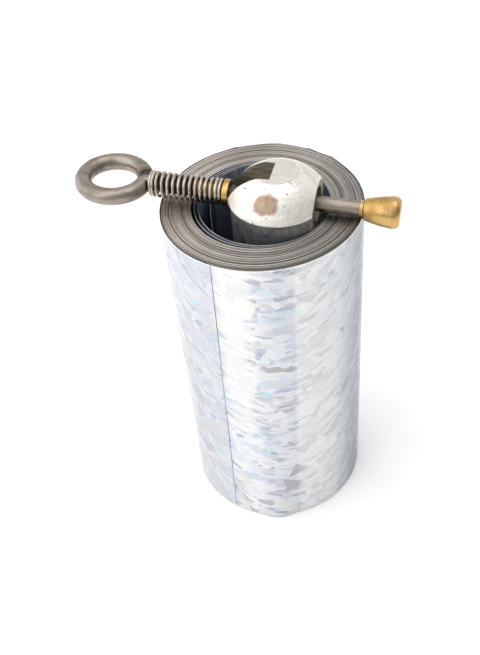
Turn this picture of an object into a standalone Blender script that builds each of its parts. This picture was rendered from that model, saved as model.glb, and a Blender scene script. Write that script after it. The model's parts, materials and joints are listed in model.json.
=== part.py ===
"""Coiled-ribbon telescoping stick, closed and held by a sprung cross pin.

A steel ribbon with a film face is wound into a tight coil that stands on its edge.
A domed aluminium lock bar sits in the hole of the coil, held to the ribbon's inner
tail by two rivets. A wire pin with a finger eye lies across the top rim, runs through
the bar and hooks its brass tip over the far edge of the coil; a spring on a flanged
brass sleeve keeps it there.

Frame: metres, +Z up, +X along the pin towards the brass tip, the origin under the
middle of the whole object on the surface it stands on. Sizes below are in millimetres.
"""
import math

import bmesh
import bpy
from mathutils import Matrix, Vector

MM = 0.001

# Coiled ribbon
COIL_RADIUS = 27.8          # over the film
RIBBON_WIDTH = 109.0        # height of the coil
COIL_TURNS = 9.714          # thick turns, each standing for about five of the real ribbon
TURN_GAP = 0.28
COIL_STEPS = 44             # stations in one turn
SEAM_ANGLE = math.radians(-106.4)   # where the ribbon's outer end lies

# Film on the outermost turn, which bulges outwards along one stretch of its foot
FILM_THICKNESS = 0.3
FILM_GAP = 0.3
FILM_SEAM = math.radians(1.6)       # width of the open seam
FILM_STEPS = 72
LIFT_OUT = 1.2                      # how far the bulge stands off
LIFT_HEIGHT = 9.0
LIFT_ANGLE = math.radians(-78.0)    # middle of the bulge
LIFT_REACH = math.radians(16.0)     # to each side
LIFT_FOOT = 0.4                     # height of the film's lower edge above the base
FILM_TOP_GAP = 0.3                  # the film's upper edge below the rim

# Inner tail of the ribbon
TAIL_SWEEP = math.radians(110.0)    # from the coil's wall to the bar
TAIL_WRAP = math.radians(44.0)      # lying on the bar
TAIL_THICKNESS = 0.55
TAIL_CLEARANCE = 0.35               # from the bar's side
TAIL_ABOVE_FOOT = 44.0              # height of the tail's end above the bar's foot

# Lock bar
BAR_RADIUS = 12.9
BAR_LENGTH = 96.0                   # below the crease under the dome
BAR_ABOVE_RIM = 4.3                 # height of the crease above the rim
BAR_CLEARANCE = 0.25
BAR_FREE_SPACE = 5.8                # from the bar's radius to the hole's, for the tail and its rivets
BAR_CONTACT = math.radians(-18.9)   # side of the hole that the bar leans on
FOOT_CHAMFER = 1.0
DOME_HEIGHT = 7.4
DOME_FLAT_RADIUS = 5.6
DOME_BULGE = 0.95                   # bulge of the shoulder beyond its chord
SIDE_FLAT_CUT = 2.3                 # depth of the flat on the tip side
SIDE_FLAT_DEPTH = 12.0              # how far the flat runs down below the rim
BAR_SIDES = 48
SHOULDER_STEPS = 7

# Slot and bore of the bar
SLOT_WIDTH = 7.4
SLOT_END = -1.2                     # end wall, from the bar's axis
BORE_CLEARANCE = 0.35
MOUTH_CLEARANCE = 0.4
MOUTH_DEPTH = 5.0
CUTTER_MARGIN = 5.0                 # how far a cutter stands out of what it cuts

# Cross pin
WIRE_DIAMETER = 3.9
EYE_RADIUS = 8.1                    # centreline of the eye
EYE_DISTANCE = 46.9                 # from the bar's axis to the eye's centre
NECK_RADIUS = 3.0
EYE_END_ANGLE = math.radians(14.0)  # where the wire's cut end butts on the neck
RIM_CLEARANCE = 0.25
WIRE_SIDES = 14
BEND_STEPS = 6
EYE_STEPS = 34

# Brass tip
TIP_LENGTH = 9.5
TIP_NARROW_DIAMETER = 5.3
TIP_WIDE_DIAMETER = 8.6
TIP_END_DIAMETER = 7.0
TIP_CONE_SHARE = 0.8                # part of the length taken by the cone
TIP_WAIST = (0.35, 0.33)            # a point on the cone, as shares of the length and of the widening
TIP_LAND = (0.6, 0.05)              # length and fall of the land after the cone
TIP_WALL = 0.5
TIP_CAP = 2.2                       # brass beyond the end of the hole
ROD_END_GAP = 0.3                   # between the rod's end and the end of the hole

# Spring and its sleeve
SPRING_WIRE = 0.84
SPRING_TURNS = 14.5
SPRING_CLEARANCE = 0.21             # over the sleeve's barrel
SPRING_END_GAP = 0.1
CLOSE_TURNS = 2.0                   # at the eye
CLOSE_GAP = 0.12                    # between close turns
SPRING_STEPS = 13                   # stations in one turn
SPRING_SIDES = 6
SLEEVE_BARREL_LENGTH = 7.0
SLEEVE_WALL = 0.4
SLEEVE_FLANGE_THICKNESS = 2.0
SLEEVE_CLEARANCE = 0.15
SEAT_GAP = 0.25
BARREL_CHAMFER = (0.3, 0.15)        # length and depth
FLANGE_CHAMFER = 0.2

# Rivets through the tail
RIVET_RISES = (12.0, 32.0)          # above the bar's foot
RIVET_SHANK_DIAMETER = 3.2
RIVET_HEAD_DIAMETER = 6.4
RIVET_HEAD_HEIGHT = 1.1
RIVET_HEAD_SHAPE = ((0.0, 1.0), (0.45, 0.93), (0.85, 0.62), (1.0, 0.25))    # shares of its height and radius
RIVET_DEPTH = 5.0
RIVET_CLEARANCE = 0.2
RIVET_SEAT_GAP = 0.45               # between the tail and the head
RIVET_END_GAP = 0.4                 # between the shank's end and the end of its hole
RIVET_SIDES = 20

# Sizes and places that follow
HOLE_RADIUS = BAR_RADIUS + BAR_FREE_SPACE
SIDE_FLAT = BAR_RADIUS - SIDE_FLAT_CUT
BARREL_DIAMETER = WIRE_DIAMETER + 2 * (SLEEVE_CLEARANCE + SLEEVE_WALL)
SPRING_DIAMETER = BARREL_DIAMETER + 2 * (SPRING_CLEARANCE + SPRING_WIRE)
FLANGE_DIAMETER = SPRING_DIAMETER
STRIP_OUTER = COIL_RADIUS - FILM_THICKNESS - FILM_GAP
PAST_CONTACT = (SEAM_ANGLE - BAR_CONTACT) / (2 * math.pi) + COIL_TURNS
CONTACT_TURNS = COIL_TURNS - PAST_CONTACT % 1.0     # turns wound when the strip last passes the bar's contact
TURN_PITCH = (STRIP_OUTER + TURN_GAP - HOLE_RADIUS) / (CONTACT_TURNS + 1)
STRIP_THICKNESS = TURN_PITCH - TURN_GAP
BAR_FOOT = RIBBON_WIDTH + BAR_ABOVE_RIM - BAR_LENGTH
TAIL_TOP = BAR_FOOT + TAIL_ABOVE_FOOT
RIVET_HEIGHTS = tuple(BAR_FOOT + rise for rise in RIVET_RISES)
BAR_OFFSET = HOLE_RADIUS - BAR_RADIUS - BAR_CLEARANCE
BAR_X = BAR_OFFSET * math.cos(BAR_CONTACT)
BAR_Y = BAR_OFFSET * math.sin(BAR_CONTACT)
EYE_X = BAR_X - EYE_DISTANCE
RIM_CROSSING = math.sqrt(COIL_RADIUS ** 2 - BAR_Y ** 2)
HOLE_CROSSING = math.sqrt(HOLE_RADIUS ** 2 - BAR_Y ** 2)
LEFT_HEIGHT = SPRING_DIAMETER / 2 + RIM_CLEARANCE
RIGHT_HEIGHT = WIRE_DIAMETER / 2 + RIM_CLEARANCE
PIN_TILT = math.atan2(LEFT_HEIGHT - RIGHT_HEIGHT, HOLE_CROSSING + RIM_CROSSING)
PIN_HEIGHT = RIBBON_WIDTH + LEFT_HEIGHT - math.tan(PIN_TILT) * (BAR_X + HOLE_CROSSING)
TIP_START = (RIM_CROSSING + RIM_CLEARANCE - BAR_X) / math.cos(PIN_TILT)
EYE_LOCAL = (EYE_X - BAR_X) / math.cos(PIN_TILT)
NECK_START = EYE_LOCAL + math.sqrt(EYE_RADIUS ** 2 + 2 * EYE_RADIUS * NECK_RADIUS)
NECK_ANGLE = math.atan2(NECK_RADIUS, NECK_START - EYE_LOCAL)
FLANGE_FACE = -BAR_RADIUS - SEAT_GAP
BARREL_START = FLANGE_FACE - SLEEVE_FLANGE_THICKNESS
LEFT_END = EYE_X - (EYE_RADIUS + WIRE_DIAMETER / 2) * math.cos(PIN_TILT)
RIGHT_END = BAR_X + (TIP_START + TIP_LENGTH) * math.cos(PIN_TILT)
ORIGIN_SHIFT = -(LEFT_END + RIGHT_END) / 2      # puts the middle of the length at x = 0
COIL_X = ORIGIN_SHIFT
BAR_AXIS_X = BAR_X + ORIGIN_SHIFT


def clear_scene():
    for thing in list(bpy.data.objects):
        bpy.data.objects.remove(thing, do_unlink=True)


def material(name, colour, roughness, metallic):
    made = bpy.data.materials.new(name)
    made.use_nodes = True
    shader = made.node_tree.nodes["Principled BSDF"]
    shader.inputs["Base Color"].default_value = (*colour, 1.0)
    shader.inputs["Roughness"].default_value = roughness
    shader.inputs["Metallic"].default_value = metallic
    made.diffuse_color = (*colour, 1.0)
    return made


def add_object(name, points, faces, finish, parent=None):
    """A mesh object from points in millimetres, its faces turned outwards."""
    mesh = bpy.data.meshes.new(name)
    mesh.from_pydata([Vector(p) * MM for p in points], [], faces)
    work = bmesh.new()
    work.from_mesh(mesh)
    bmesh.ops.recalc_face_normals(work, faces=work.faces)
    work.to_mesh(mesh)
    work.free()
    mesh.shade_smooth()
    mesh.set_sharp_from_angle(angle=math.radians(35))
    made = bpy.data.objects.new(name, mesh)
    bpy.context.collection.objects.link(made)
    if finish:
        mesh.materials.append(finish)
    made.parent = parent
    return made


def ring_faces(rings, sides, closed_path=False):
    """Quads between successive rings of points, with an end cap at each open end."""
    faces = []
    last = rings if closed_path else rings - 1
    for i in range(last):
        j = (i + 1) % rings
        for k in range(sides):
            m = (k + 1) % sides
            faces.append((i * sides + k, i * sides + m, j * sides + m, j * sides + k))
    if not closed_path:
        faces.append(tuple(range(sides))[::-1])
        faces.append(tuple((rings - 1) * sides + k for k in range(sides)))
    return faces


def turned(profile, sides):
    """Points and faces of a closed ring-shaped profile (axial, radius) turned about the X axis."""
    points = []
    for i in range(sides):
        angle = 2 * math.pi * i / sides
        c, s = math.cos(angle), math.sin(angle)
        for axial, radius in profile:
            points.append((axial, radius * c, radius * s))
    return points, ring_faces(sides, len(profile), closed_path=True)


def solid_of_revolution(profile, sides, along_x=False):
    """Points and faces of a solid whose profile (axial, radius) ends on flat round caps."""
    points = []
    for axial, radius in profile:
        for i in range(sides):
            angle = 2 * math.pi * i / sides
            c, s = radius * math.cos(angle), radius * math.sin(angle)
            points.append((axial, c, s) if along_x else (c, s, axial))
    return points, ring_faces(len(profile), sides)


def tube(path, radius, sides):
    """Points and faces of a round tube along a path, its section carried square to the path."""
    points = []
    normal = None
    for i, here in enumerate(path):
        ahead = path[min(i + 1, len(path) - 1)] - path[max(i - 1, 0)]
        tangent = ahead.normalized()
        if normal is None:
            normal = tangent.orthogonal()
        normal = (normal - tangent * normal.dot(tangent)).normalized()
        side = tangent.cross(normal)
        for k in range(sides):
            angle = 2 * math.pi * k / sides
            points.append(here + radius * (math.cos(angle) * normal + math.sin(angle) * side))
    return points, ring_faces(len(path), sides)


def cut(target, cutter):
    """Subtract a hidden cutter object."""
    cutter.hide_render = True
    cutter.display_type = "WIRE"
    step = target.modifiers.new("cut_" + cutter.name, "BOOLEAN")
    step.operation = "DIFFERENCE"
    step.solver = "EXACT"
    step.object = cutter


def box_points(low, high):
    points = [(x, y, z) for x in (low[0], high[0]) for y in (low[1], high[1]) for z in (low[2], high[2])]
    faces = [(0, 1, 3, 2), (4, 6, 7, 5), (0, 4, 5, 1), (2, 3, 7, 6), (0, 2, 6, 4), (1, 5, 7, 3)]
    return points, faces


def smooth_step(t):
    t = min(max(t, 0.0), 1.0)
    return t * t * (3 - 2 * t)


def bar_surface_distance(angle):
    """Distance from the coil's axis to the bar's side in a direction inside the hole."""
    along = BAR_X * math.cos(angle) + BAR_Y * math.sin(angle)
    return along + math.sqrt(along ** 2 - BAR_OFFSET ** 2 + BAR_RADIUS ** 2)


def strip_section(angle_from_seam):
    """Outer radius, thickness and top height of the ribbon at an angle wound inwards from the seam."""
    full = 2 * math.pi * COIL_TURNS
    if angle_from_seam <= full:
        return STRIP_OUTER - TURN_PITCH * angle_from_seam / (2 * math.pi), STRIP_THICKNESS, RIBBON_WIDTH
    share = smooth_step((angle_from_seam - full) / TAIL_SWEEP)
    thickness = STRIP_THICKNESS + (TAIL_THICKNESS - STRIP_THICKNESS) * share
    start = STRIP_OUTER - TURN_PITCH * COIL_TURNS
    end = bar_surface_distance(SEAM_ANGLE + angle_from_seam) + TAIL_CLEARANCE + TAIL_THICKNESS
    top = RIBBON_WIDTH + (TAIL_TOP - RIBBON_WIDTH) * share
    return start + (end - start) * share, thickness, top


def tail_end_angle():
    return 2 * math.pi * COIL_TURNS + TAIL_SWEEP + TAIL_WRAP


def make_ribbon(finish):
    """One strip standing on edge, wound inwards from the seam and led across to the bar."""
    steps = round(COIL_STEPS * tail_end_angle() / (2 * math.pi))
    points = []
    for i in range(steps + 1):
        wound = tail_end_angle() * i / steps
        outer, thickness, top = strip_section(wound)
        c, s = math.cos(SEAM_ANGLE + wound), math.sin(SEAM_ANGLE + wound)
        for radius, height in ((outer, 0), (outer, top), (outer - thickness, top), (outer - thickness, 0)):
            points.append((radius * c + COIL_X, radius * s, height))
    ribbon = add_object("ribbon_coil", points, ring_faces(steps + 1, 4), finish)
    radius = RIVET_SHANK_DIAMETER / 2 + RIVET_CLEARANCE
    for i, height in enumerate(RIVET_HEIGHTS):
        points, faces = solid_of_revolution([(0, radius), (2 * TAIL_CLEARANCE + TAIL_THICKNESS, radius)],
                                            RIVET_SIDES, along_x=True)
        hole = add_object(f"tail_hole_cutter_{i}", points, faces, None)
        hole.matrix_world = rivet_place(height)
        cut(ribbon, hole)


def film_lift(angle, height):
    """How far the film stands off at its foot."""
    across = smooth_step(1 - abs(angle - LIFT_ANGLE) / LIFT_REACH)
    down = smooth_step(1 - height / LIFT_HEIGHT)
    return LIFT_OUT * across * down


def make_film(finish):
    """An open sleeve on the outermost turn whose foot bulges outwards at one place."""
    levels = (LIFT_FOOT, LIFT_HEIGHT * 0.25, LIFT_HEIGHT * 0.5, LIFT_HEIGHT, RIBBON_WIDTH - FILM_TOP_GAP)
    sweep = 2 * math.pi - FILM_SEAM
    points = []
    for i in range(FILM_STEPS + 1):
        angle = SEAM_ANGLE + FILM_SEAM / 2 + sweep * i / FILM_STEPS
        c, s = math.cos(angle), math.sin(angle)
        for side, order in ((0, levels), (1, levels[::-1])):
            for height in order:
                radius = COIL_RADIUS - side * FILM_THICKNESS + film_lift(angle, height - LIFT_FOOT)
                points.append((radius * c + COIL_X, radius * s, height))
    add_object("film_wrap", points, ring_faces(FILM_STEPS + 1, 2 * len(levels)), finish)


def shoulder_profile():
    """Points of the dome's shoulder from the crease to the edge of the flat, on one arc."""
    low = Vector((BAR_RADIUS, RIBBON_WIDTH + BAR_ABOVE_RIM))
    high = Vector((DOME_FLAT_RADIUS, RIBBON_WIDTH + BAR_ABOVE_RIM + DOME_HEIGHT))
    chord = high - low
    out = Vector((chord.y, -chord.x)).normalized()
    radius = chord.length ** 2 / (8 * DOME_BULGE) + DOME_BULGE / 2
    centre = (low + high) / 2 + out * (DOME_BULGE - radius)
    first = math.atan2(low.y - centre.y, low.x - centre.x)
    last = math.atan2(high.y - centre.y, high.x - centre.x)
    angles = [first + (last - first) * i / SHOULDER_STEPS for i in range(SHOULDER_STEPS + 1)]
    return [(centre.y + radius * math.sin(a), centre.x + radius * math.cos(a)) for a in angles]


def make_bar(finish, pin_axis):
    """The domed bar, slotted from the top and one side for the pin, and bored to the other side."""
    foot = [(BAR_FOOT, BAR_RADIUS - FOOT_CHAMFER), (BAR_FOOT + FOOT_CHAMFER, BAR_RADIUS)]
    bar = add_object("lock_bar", *solid_of_revolution(foot + shoulder_profile(), BAR_SIDES), finish)
    bar.location = Vector((BAR_AXIS_X, BAR_Y, 0)) * MM

    reach = BAR_RADIUS + CUTTER_MARGIN
    wire = WIRE_DIAMETER / 2
    floor = PIN_HEIGHT - wire - BORE_CLEARANCE
    top = RIBBON_WIDTH + BAR_ABOVE_RIM + DOME_HEIGHT + CUTTER_MARGIN
    slot = add_object("slot_cutter", *box_points((-reach, -SLOT_WIDTH / 2, floor),
                                                 (SLOT_END, SLOT_WIDTH / 2, top)), None)
    flat = add_object("side_flat_cutter", *box_points((SIDE_FLAT, -reach, RIBBON_WIDTH - SIDE_FLAT_DEPTH),
                                                      (reach, reach, top)), None)
    for cutter in (slot, flat):
        cutter.location = bar.location
        cut(bar, cutter)

    bore = wire + BORE_CLEARANCE
    mouth = TIP_WIDE_DIAMETER / 2 + MOUTH_CLEARANCE
    bore_profile = [(SLOT_END - BORE_CLEARANCE, bore), (SIDE_FLAT - MOUTH_DEPTH, bore),
                    (SIDE_FLAT - MOUTH_DEPTH + (mouth - bore), mouth), (reach, mouth)]
    points, faces = solid_of_revolution(bore_profile, 28, along_x=True)
    cut(bar, add_object("bore_cutter", points, faces, None, pin_axis))
    radius = RIVET_SHANK_DIAMETER / 2 + RIVET_CLEARANCE
    depth = RIVET_DEPTH + RIVET_END_GAP
    for i, height in enumerate(RIVET_HEIGHTS):
        points, faces = solid_of_revolution([(-depth, radius), (TAIL_CLEARANCE, radius)],
                                            RIVET_SIDES, along_x=True)
        hole = add_object(f"bar_hole_cutter_{i}", points, faces, None)
        hole.matrix_world = rivet_place(height)
        cut(bar, hole)


def rivet_place(height):
    """Place and heading of a rivet: local +X leaves the bar through the middle of the wrapped tail."""
    angle = SEAM_ANGLE + tail_end_angle() - TAIL_WRAP / 2
    distance = bar_surface_distance(angle)
    spot = Vector((distance * math.cos(angle) + COIL_X, distance * math.sin(angle), height))
    outwards = Vector((spot.x - BAR_AXIS_X, spot.y - BAR_Y, 0))
    turn = Matrix.Rotation(math.atan2(outwards.y, outwards.x), 4, "Z")
    return Matrix.Translation(spot * MM) @ turn


def make_rivets(finish):
    """Round-headed rivets that hold the ribbon's tail on the bar."""
    seat = TAIL_CLEARANCE + TAIL_THICKNESS + RIVET_SEAT_GAP
    shank = RIVET_SHANK_DIAMETER / 2
    head = RIVET_HEAD_DIAMETER / 2
    profile = [(-RIVET_DEPTH, shank), (seat, shank)]
    profile += [(seat + RIVET_HEAD_HEIGHT * up, head * out) for up, out in RIVET_HEAD_SHAPE]
    for name, height in zip(("tail_rivet_lower", "tail_rivet_upper"), RIVET_HEIGHTS):
        rivet = add_object(name, *solid_of_revolution(profile, RIVET_SIDES, along_x=True), finish)
        rivet.matrix_world = rivet_place(height)


def eye_path():
    """Centreline of the wire: the straight rod, the neck's bend, then round the eye to the cut end."""
    rod_end = TIP_START + TIP_LENGTH - TIP_CAP - ROD_END_GAP
    path = [Vector((rod_end, 0, 0)), Vector((0, 0, 0)), Vector((NECK_START + 2.0, 0, 0))]
    bend = math.pi / 2 - NECK_ANGLE
    for i in range(BEND_STEPS + 1):
        angle = math.pi / 2 + bend * i / BEND_STEPS
        path.append(Vector((NECK_START + NECK_RADIUS * math.cos(angle),
                            -NECK_RADIUS + NECK_RADIUS * math.sin(angle), 0)))
    sweep = 2 * math.pi - NECK_ANGLE - EYE_END_ANGLE
    for i in range(1, EYE_STEPS + 1):
        angle = -NECK_ANGLE - sweep * i / EYE_STEPS
        path.append(Vector((EYE_LOCAL + EYE_RADIUS * math.cos(angle), EYE_RADIUS * math.sin(angle), 0)))
    return path


def make_pin(finish, pin_axis):
    add_object("pin_rod", *tube(eye_path(), WIRE_DIAMETER / 2, WIRE_SIDES), finish, pin_axis)


def make_tip(finish, pin_axis):
    """A brass cone with a chamfered end and a hole for the rod, its narrow end facing the coil."""
    bore = WIRE_DIAMETER / 2 + SLEEVE_CLEARANCE
    end = TIP_START + TIP_LENGTH
    cone = TIP_START + TIP_LENGTH * TIP_CONE_SHARE
    narrow = max(TIP_NARROW_DIAMETER / 2, bore + TIP_WALL)
    wide = TIP_WIDE_DIAMETER / 2
    waist = TIP_START + TIP_LENGTH * TIP_WAIST[0]
    profile = [(TIP_START, narrow), (waist, narrow + (wide - narrow) * TIP_WAIST[1]), (cone, wide),
               (cone + TIP_LAND[0], wide - TIP_LAND[1]), (end, TIP_END_DIAMETER / 2)]
    tip = add_object("pin_tip", *solid_of_revolution(profile, 32, along_x=True), finish, pin_axis)
    hole = [(TIP_START - CUTTER_MARGIN, bore), (end - TIP_CAP, bore)]
    points, faces = solid_of_revolution(hole, RIVET_SIDES, along_x=True)
    cut(tip, add_object("tip_bore_cutter", points, faces, None, pin_axis))


def make_sleeve(finish, pin_axis):
    """The flanged sleeve that the spring pushes against the bar."""
    bore = WIRE_DIAMETER / 2 + SLEEVE_CLEARANCE
    barrel = BARREL_DIAMETER / 2
    flange = FLANGE_DIAMETER / 2
    edge = flange - FLANGE_CHAMFER
    start = BARREL_START - SLEEVE_BARREL_LENGTH
    profile = [(start, bore), (start, barrel - BARREL_CHAMFER[1]), (start + BARREL_CHAMFER[0], barrel),
               (BARREL_START, barrel), (BARREL_START, edge), (BARREL_START + FLANGE_CHAMFER, flange),
               (FLANGE_FACE - FLANGE_CHAMFER, flange), (FLANGE_FACE, edge), (FLANGE_FACE, bore)]
    add_object("spring_sleeve", *turned(profile, 28), finish, pin_axis)


def make_spring(finish, pin_axis):
    """A helix with close turns at the eye and open turns towards the flange."""
    radius = (SPRING_DIAMETER - SPRING_WIRE) / 2
    first = NECK_START + SPRING_WIRE / 2 + SPRING_END_GAP
    last = BARREL_START - SPRING_WIRE / 2 - SPRING_END_GAP
    close_pitch = SPRING_WIRE + CLOSE_GAP
    open_pitch = (last - first - CLOSE_TURNS * close_pitch) / (SPRING_TURNS - CLOSE_TURNS)
    steps = round(SPRING_STEPS * SPRING_TURNS)
    path = []
    for i in range(steps + 1):
        turns = SPRING_TURNS * i / steps
        close = min(turns, CLOSE_TURNS)
        along = first + close * close_pitch + (turns - close) * open_pitch
        angle = 2 * math.pi * turns
        path.append(Vector((along, radius * math.cos(angle), radius * math.sin(angle))))
    add_object("pin_spring", *tube(path, SPRING_WIRE / 2, SPRING_SIDES), finish, pin_axis)


def make_pin_axis():
    """An empty on the pin's axis where it crosses the bar's axis, tipped down towards the brass tip."""
    axis = bpy.data.objects.new("pin_axis", None)
    bpy.context.collection.objects.link(axis)
    axis.location = Vector((BAR_AXIS_X, BAR_Y, PIN_HEIGHT)) * MM
    axis.rotation_euler = (0, PIN_TILT, 0)
    return axis


def main():
    clear_scene()
    steel = material("ribbon_steel", (0.42, 0.40, 0.38), 0.35, 1.0)
    film = material("holographic_film", (0.80, 0.84, 0.88), 0.2, 0.8)
    aluminium = material("bar_aluminium", (0.86, 0.86, 0.85), 0.3, 1.0)
    wire = material("pin_steel", (0.50, 0.46, 0.42), 0.3, 1.0)
    spring = material("spring_steel", (0.40, 0.34, 0.28), 0.3, 1.0)
    brass = material("brass", (0.72, 0.52, 0.22), 0.3, 1.0)

    pin_axis = make_pin_axis()
    make_ribbon(steel)
    make_film(film)
    make_bar(aluminium, pin_axis)
    make_rivets(aluminium)
    make_pin(wire, pin_axis)
    make_tip(brass, pin_axis)
    make_sleeve(brass, pin_axis)
    make_spring(spring, pin_axis)
    bpy.context.view_layer.update()


main()
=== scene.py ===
"""Looks of a closed ribbon stick: a wound steel ribbon with a shattered-glass film, a domed
lock bar in its hole, and a sprung cross pin with a finger eye and brass fittings.

Every surface is worked out as a whole array: a profile carried along a path, or a height over
two parameters. Lengths in this file are in millimetres and become metres when a mesh is made.
"""
import json
import math

import bmesh
import bpy
import numpy as np
from mathutils import Matrix, Vector


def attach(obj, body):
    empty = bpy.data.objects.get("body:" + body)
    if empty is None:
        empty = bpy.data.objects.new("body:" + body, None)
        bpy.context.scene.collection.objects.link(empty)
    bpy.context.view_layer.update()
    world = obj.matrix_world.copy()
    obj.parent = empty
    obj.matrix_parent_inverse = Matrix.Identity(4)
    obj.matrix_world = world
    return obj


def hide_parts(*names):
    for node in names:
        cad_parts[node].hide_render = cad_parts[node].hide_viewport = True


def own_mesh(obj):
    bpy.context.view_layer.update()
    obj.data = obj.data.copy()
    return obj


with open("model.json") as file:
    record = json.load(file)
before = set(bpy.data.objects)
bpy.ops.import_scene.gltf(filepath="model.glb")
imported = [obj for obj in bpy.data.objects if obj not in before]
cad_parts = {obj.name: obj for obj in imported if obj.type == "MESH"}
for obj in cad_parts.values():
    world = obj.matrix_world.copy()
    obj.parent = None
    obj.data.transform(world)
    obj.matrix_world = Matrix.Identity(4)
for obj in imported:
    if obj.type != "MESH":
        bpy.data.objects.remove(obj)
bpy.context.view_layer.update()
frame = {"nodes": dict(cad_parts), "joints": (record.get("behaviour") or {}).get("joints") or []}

MM = 0.001
TAU = 2 * math.pi

# ---------------------------------------------------------------- places read from the frame


def node_points(node):
    """All corners of a CAD node, in millimetres."""
    mesh = frame["nodes"][node].data
    flat = np.empty(len(mesh.vertices) * 3)
    mesh.vertices.foreach_get("co", flat)
    return flat.reshape(-1, 3) / MM


def node_span(node):
    """Lowest and highest corner of a CAD node, in millimetres."""
    points = node_points(node)
    return points.min(0), points.max(0)


JOINTS = {joint["name"]: joint for joint in frame["joints"]}
PIN_POINT = np.array(JOINTS["pin_turn"]["pos_m"]) / MM
PIN_AXIS = np.array(JOINTS["pin_turn"]["axis"])
PIN_AXIS = PIN_AXIS / np.linalg.norm(PIN_AXIS)
PIN_SIDE = np.array([0.0, 1.0, 0.0])
PIN_UP = np.cross(PIN_AXIS, PIN_SIDE)


def pin_span(node):
    """Where a CAD node begins and ends along the pin's axis, and its largest distance from it."""
    offset = node_points(node) - PIN_POINT
    along = offset @ PIN_AXIS
    away = np.linalg.norm(offset - np.outer(along, PIN_AXIS), axis=1)
    return along.min(), along.max(), away.max()


film_low, film_high = node_span("film_wrap")
_, coil_high = node_span("ribbon_coil")
bar_low, bar_high = node_span("lock_bar")
COIL_AXIS = np.array([(film_low[0] + film_high[0]) / 2, 0.0, 0.0])
COIL_RADIUS = film_high[1]
RIM_HEIGHT = coil_high[2]
BAR_RADIUS = (bar_high[0] - bar_low[0]) / 2
BAR_AXIS = np.array([(bar_low[0] + bar_high[0]) / 2, (bar_low[1] + bar_high[1]) / 2, 0.0])
BAR_FOOT, BAR_TOP = bar_low[2], bar_high[2]

# Ribbon, wound inwards from its outer end at the seam
SEAM_ANGLE = math.radians(-106.4)
HOLE_RADIUS = 18.7
OUTER_TURN_GAP = 0.25                   # between the film's inner face and the outermost turn
INNER_TURN_GAP = 0.62                   # from the hole's radius out to the last packed turn
PACKED_TURNS = 40.0
LOOSE_TURNS = 2.714
LOOSE_TOWARDS = math.radians(-160.0)    # where the loose turns stand off most
LOOSE_GAP = 0.9
RIBBON_THICKNESS = 0.17
TURN_STEPS = 120
RIM_DROP = 0.12                         # of the turns' mean top edge below the rim
SUNK_TURNS = ((0.2, 0.9, 0.45), (3.3, 0.9, 0.30), (6.6, 0.8, 0.22), (9.7, 0.7, 0.18),
              (14.5, 1.0, 0.34), (19.2, 0.7, 0.20), (23.0, 0.7, 0.18), (27.3, 1.0, 0.30),
              (32.0, 0.7, 0.18), (36.4, 0.8, 0.26))     # middle and width in turns, depth
TAIL_SWEEP = math.radians(110.0)
TAIL_WRAP = math.radians(44.0)
TAIL_THICKNESS = 0.5
TAIL_RISE = 44.0
TAIL_STAND_OFF = 0.35

# Film on the outermost turn
FILM_THICKNESS = 0.1
FILM_STAND_IN = 0.06                    # of its outer face inside the coil's radius
FILM_FOOT = 0.35
FILM_TOP_GAP = 0.4
FILM_SEAM = math.radians(0.35)
SEAM_LEAN = math.radians(3.4)
LIFT_OUT = 1.2                          # bulge at the foot
LIFT_HEIGHT = 9.0
LIFT_ANGLE = math.radians(-78.0)
LIFT_REACH = math.radians(16.0)
TORN_EDGE = ((92.0, 9.0, 0.55), (71.0, 3.0, 0.45), (54.0, 5.0, 0.75),
             (118.0, 3.0, 0.3))         # azimuth and width in degrees, rise
TORN_DEPTH = 6.0                        # height over which a scrap draws the pattern up
WHITE_EDGE = (0.9, 0.3)                 # where the cut edge's white begins and is full, below the rim
LEVEL_TURN = 0.085                      # turns from the seam to where the slivers lie level
LEAN_REACH = 30.0                       # rise of a sliver's line between its lowest and mean height

# Lock bar
CREASE_HEIGHT = 4.3                     # of the dome's lower edge above the rim
DOME_FLAT_RADIUS = 5.6
DOME_BULGE = 0.95                       # of the shoulder beyond its chord
DOME_OVERHANG = 0.5
LIP_DROP = 0.9                          # below the crease, where the overhang begins
LIP_EDGE = 0.3                          # height of the overhang's upright edge
BAR_CORNER = 1.2                        # rounding at the foot
SIDE_FLAT = 10.6                        # from the bar's axis
SIDE_FLAT_DEPTH = 12.0
SLOT_WIDTH = 7.4
SLOT_END = -1.2                         # end wall, from the bar's axis
BORE_RADIUS = 2.3
MOUTH_RADIUS = 4.7
MOUTH_DEPTH = 5.0
CUTTER_MARGIN = 5.0
WORN_EDGE = 0.14

# Rivets
RIVET_HEAD_HEIGHT = 1.1
RIVET_HEAD_RADIUS = 3.2
RIVET_SHANK_RADIUS = 1.6
RIVET_EDGE = 0.15

# Cross pin
WIRE_RADIUS = 2.1
EYE_WIRE_RADIUS = 2.35
EYE_RADIUS = 7.95                       # of the centreline, before it is stretched along the pin
EYE_OVERLAP = 0.3                       # from the start of the CAD's spring to the neck's bend
NECK_RADIUS = 1.6
EYE_END_ANGLE = math.radians(24.0)
WIRE_END_ROUNDING = 0.45

# Brass tip
TIP_NECK_LENGTH = 1.0
TIP_NECK_RADIUS = 2.2
TIP_HOLE_RADIUS = 2.13
TIP_CAP = 2.4                           # brass beyond the end of the hole
TIP_END_RADIUS = 3.45
TIP_CONE = ((0.0, 2.8), (0.25, 3.45), (0.52, 3.98))     # shares of the length and radii
TIP_CONE_SHARE = 0.8

# Spring and sleeve
SPRING_RADIUS = 3.65
SPRING_WIRE = 0.45                      # radius of its wire
SPRING_SHIFT = (0.5, 0.3)               # of its two ends from the CAD's
SPRING_TURNS = 14.5
CLOSE_TURNS = 2.0
BARREL_RADIUS = 2.6
SLEEVE_BORE_RADIUS = 2.2
FLANGE_THICKNESS = 1.6
GREASE_AND_SHADE_REACH = (1.0, 5.0)               # dark grease and painted shade on the rod: past the spring's start and past the flange
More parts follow.
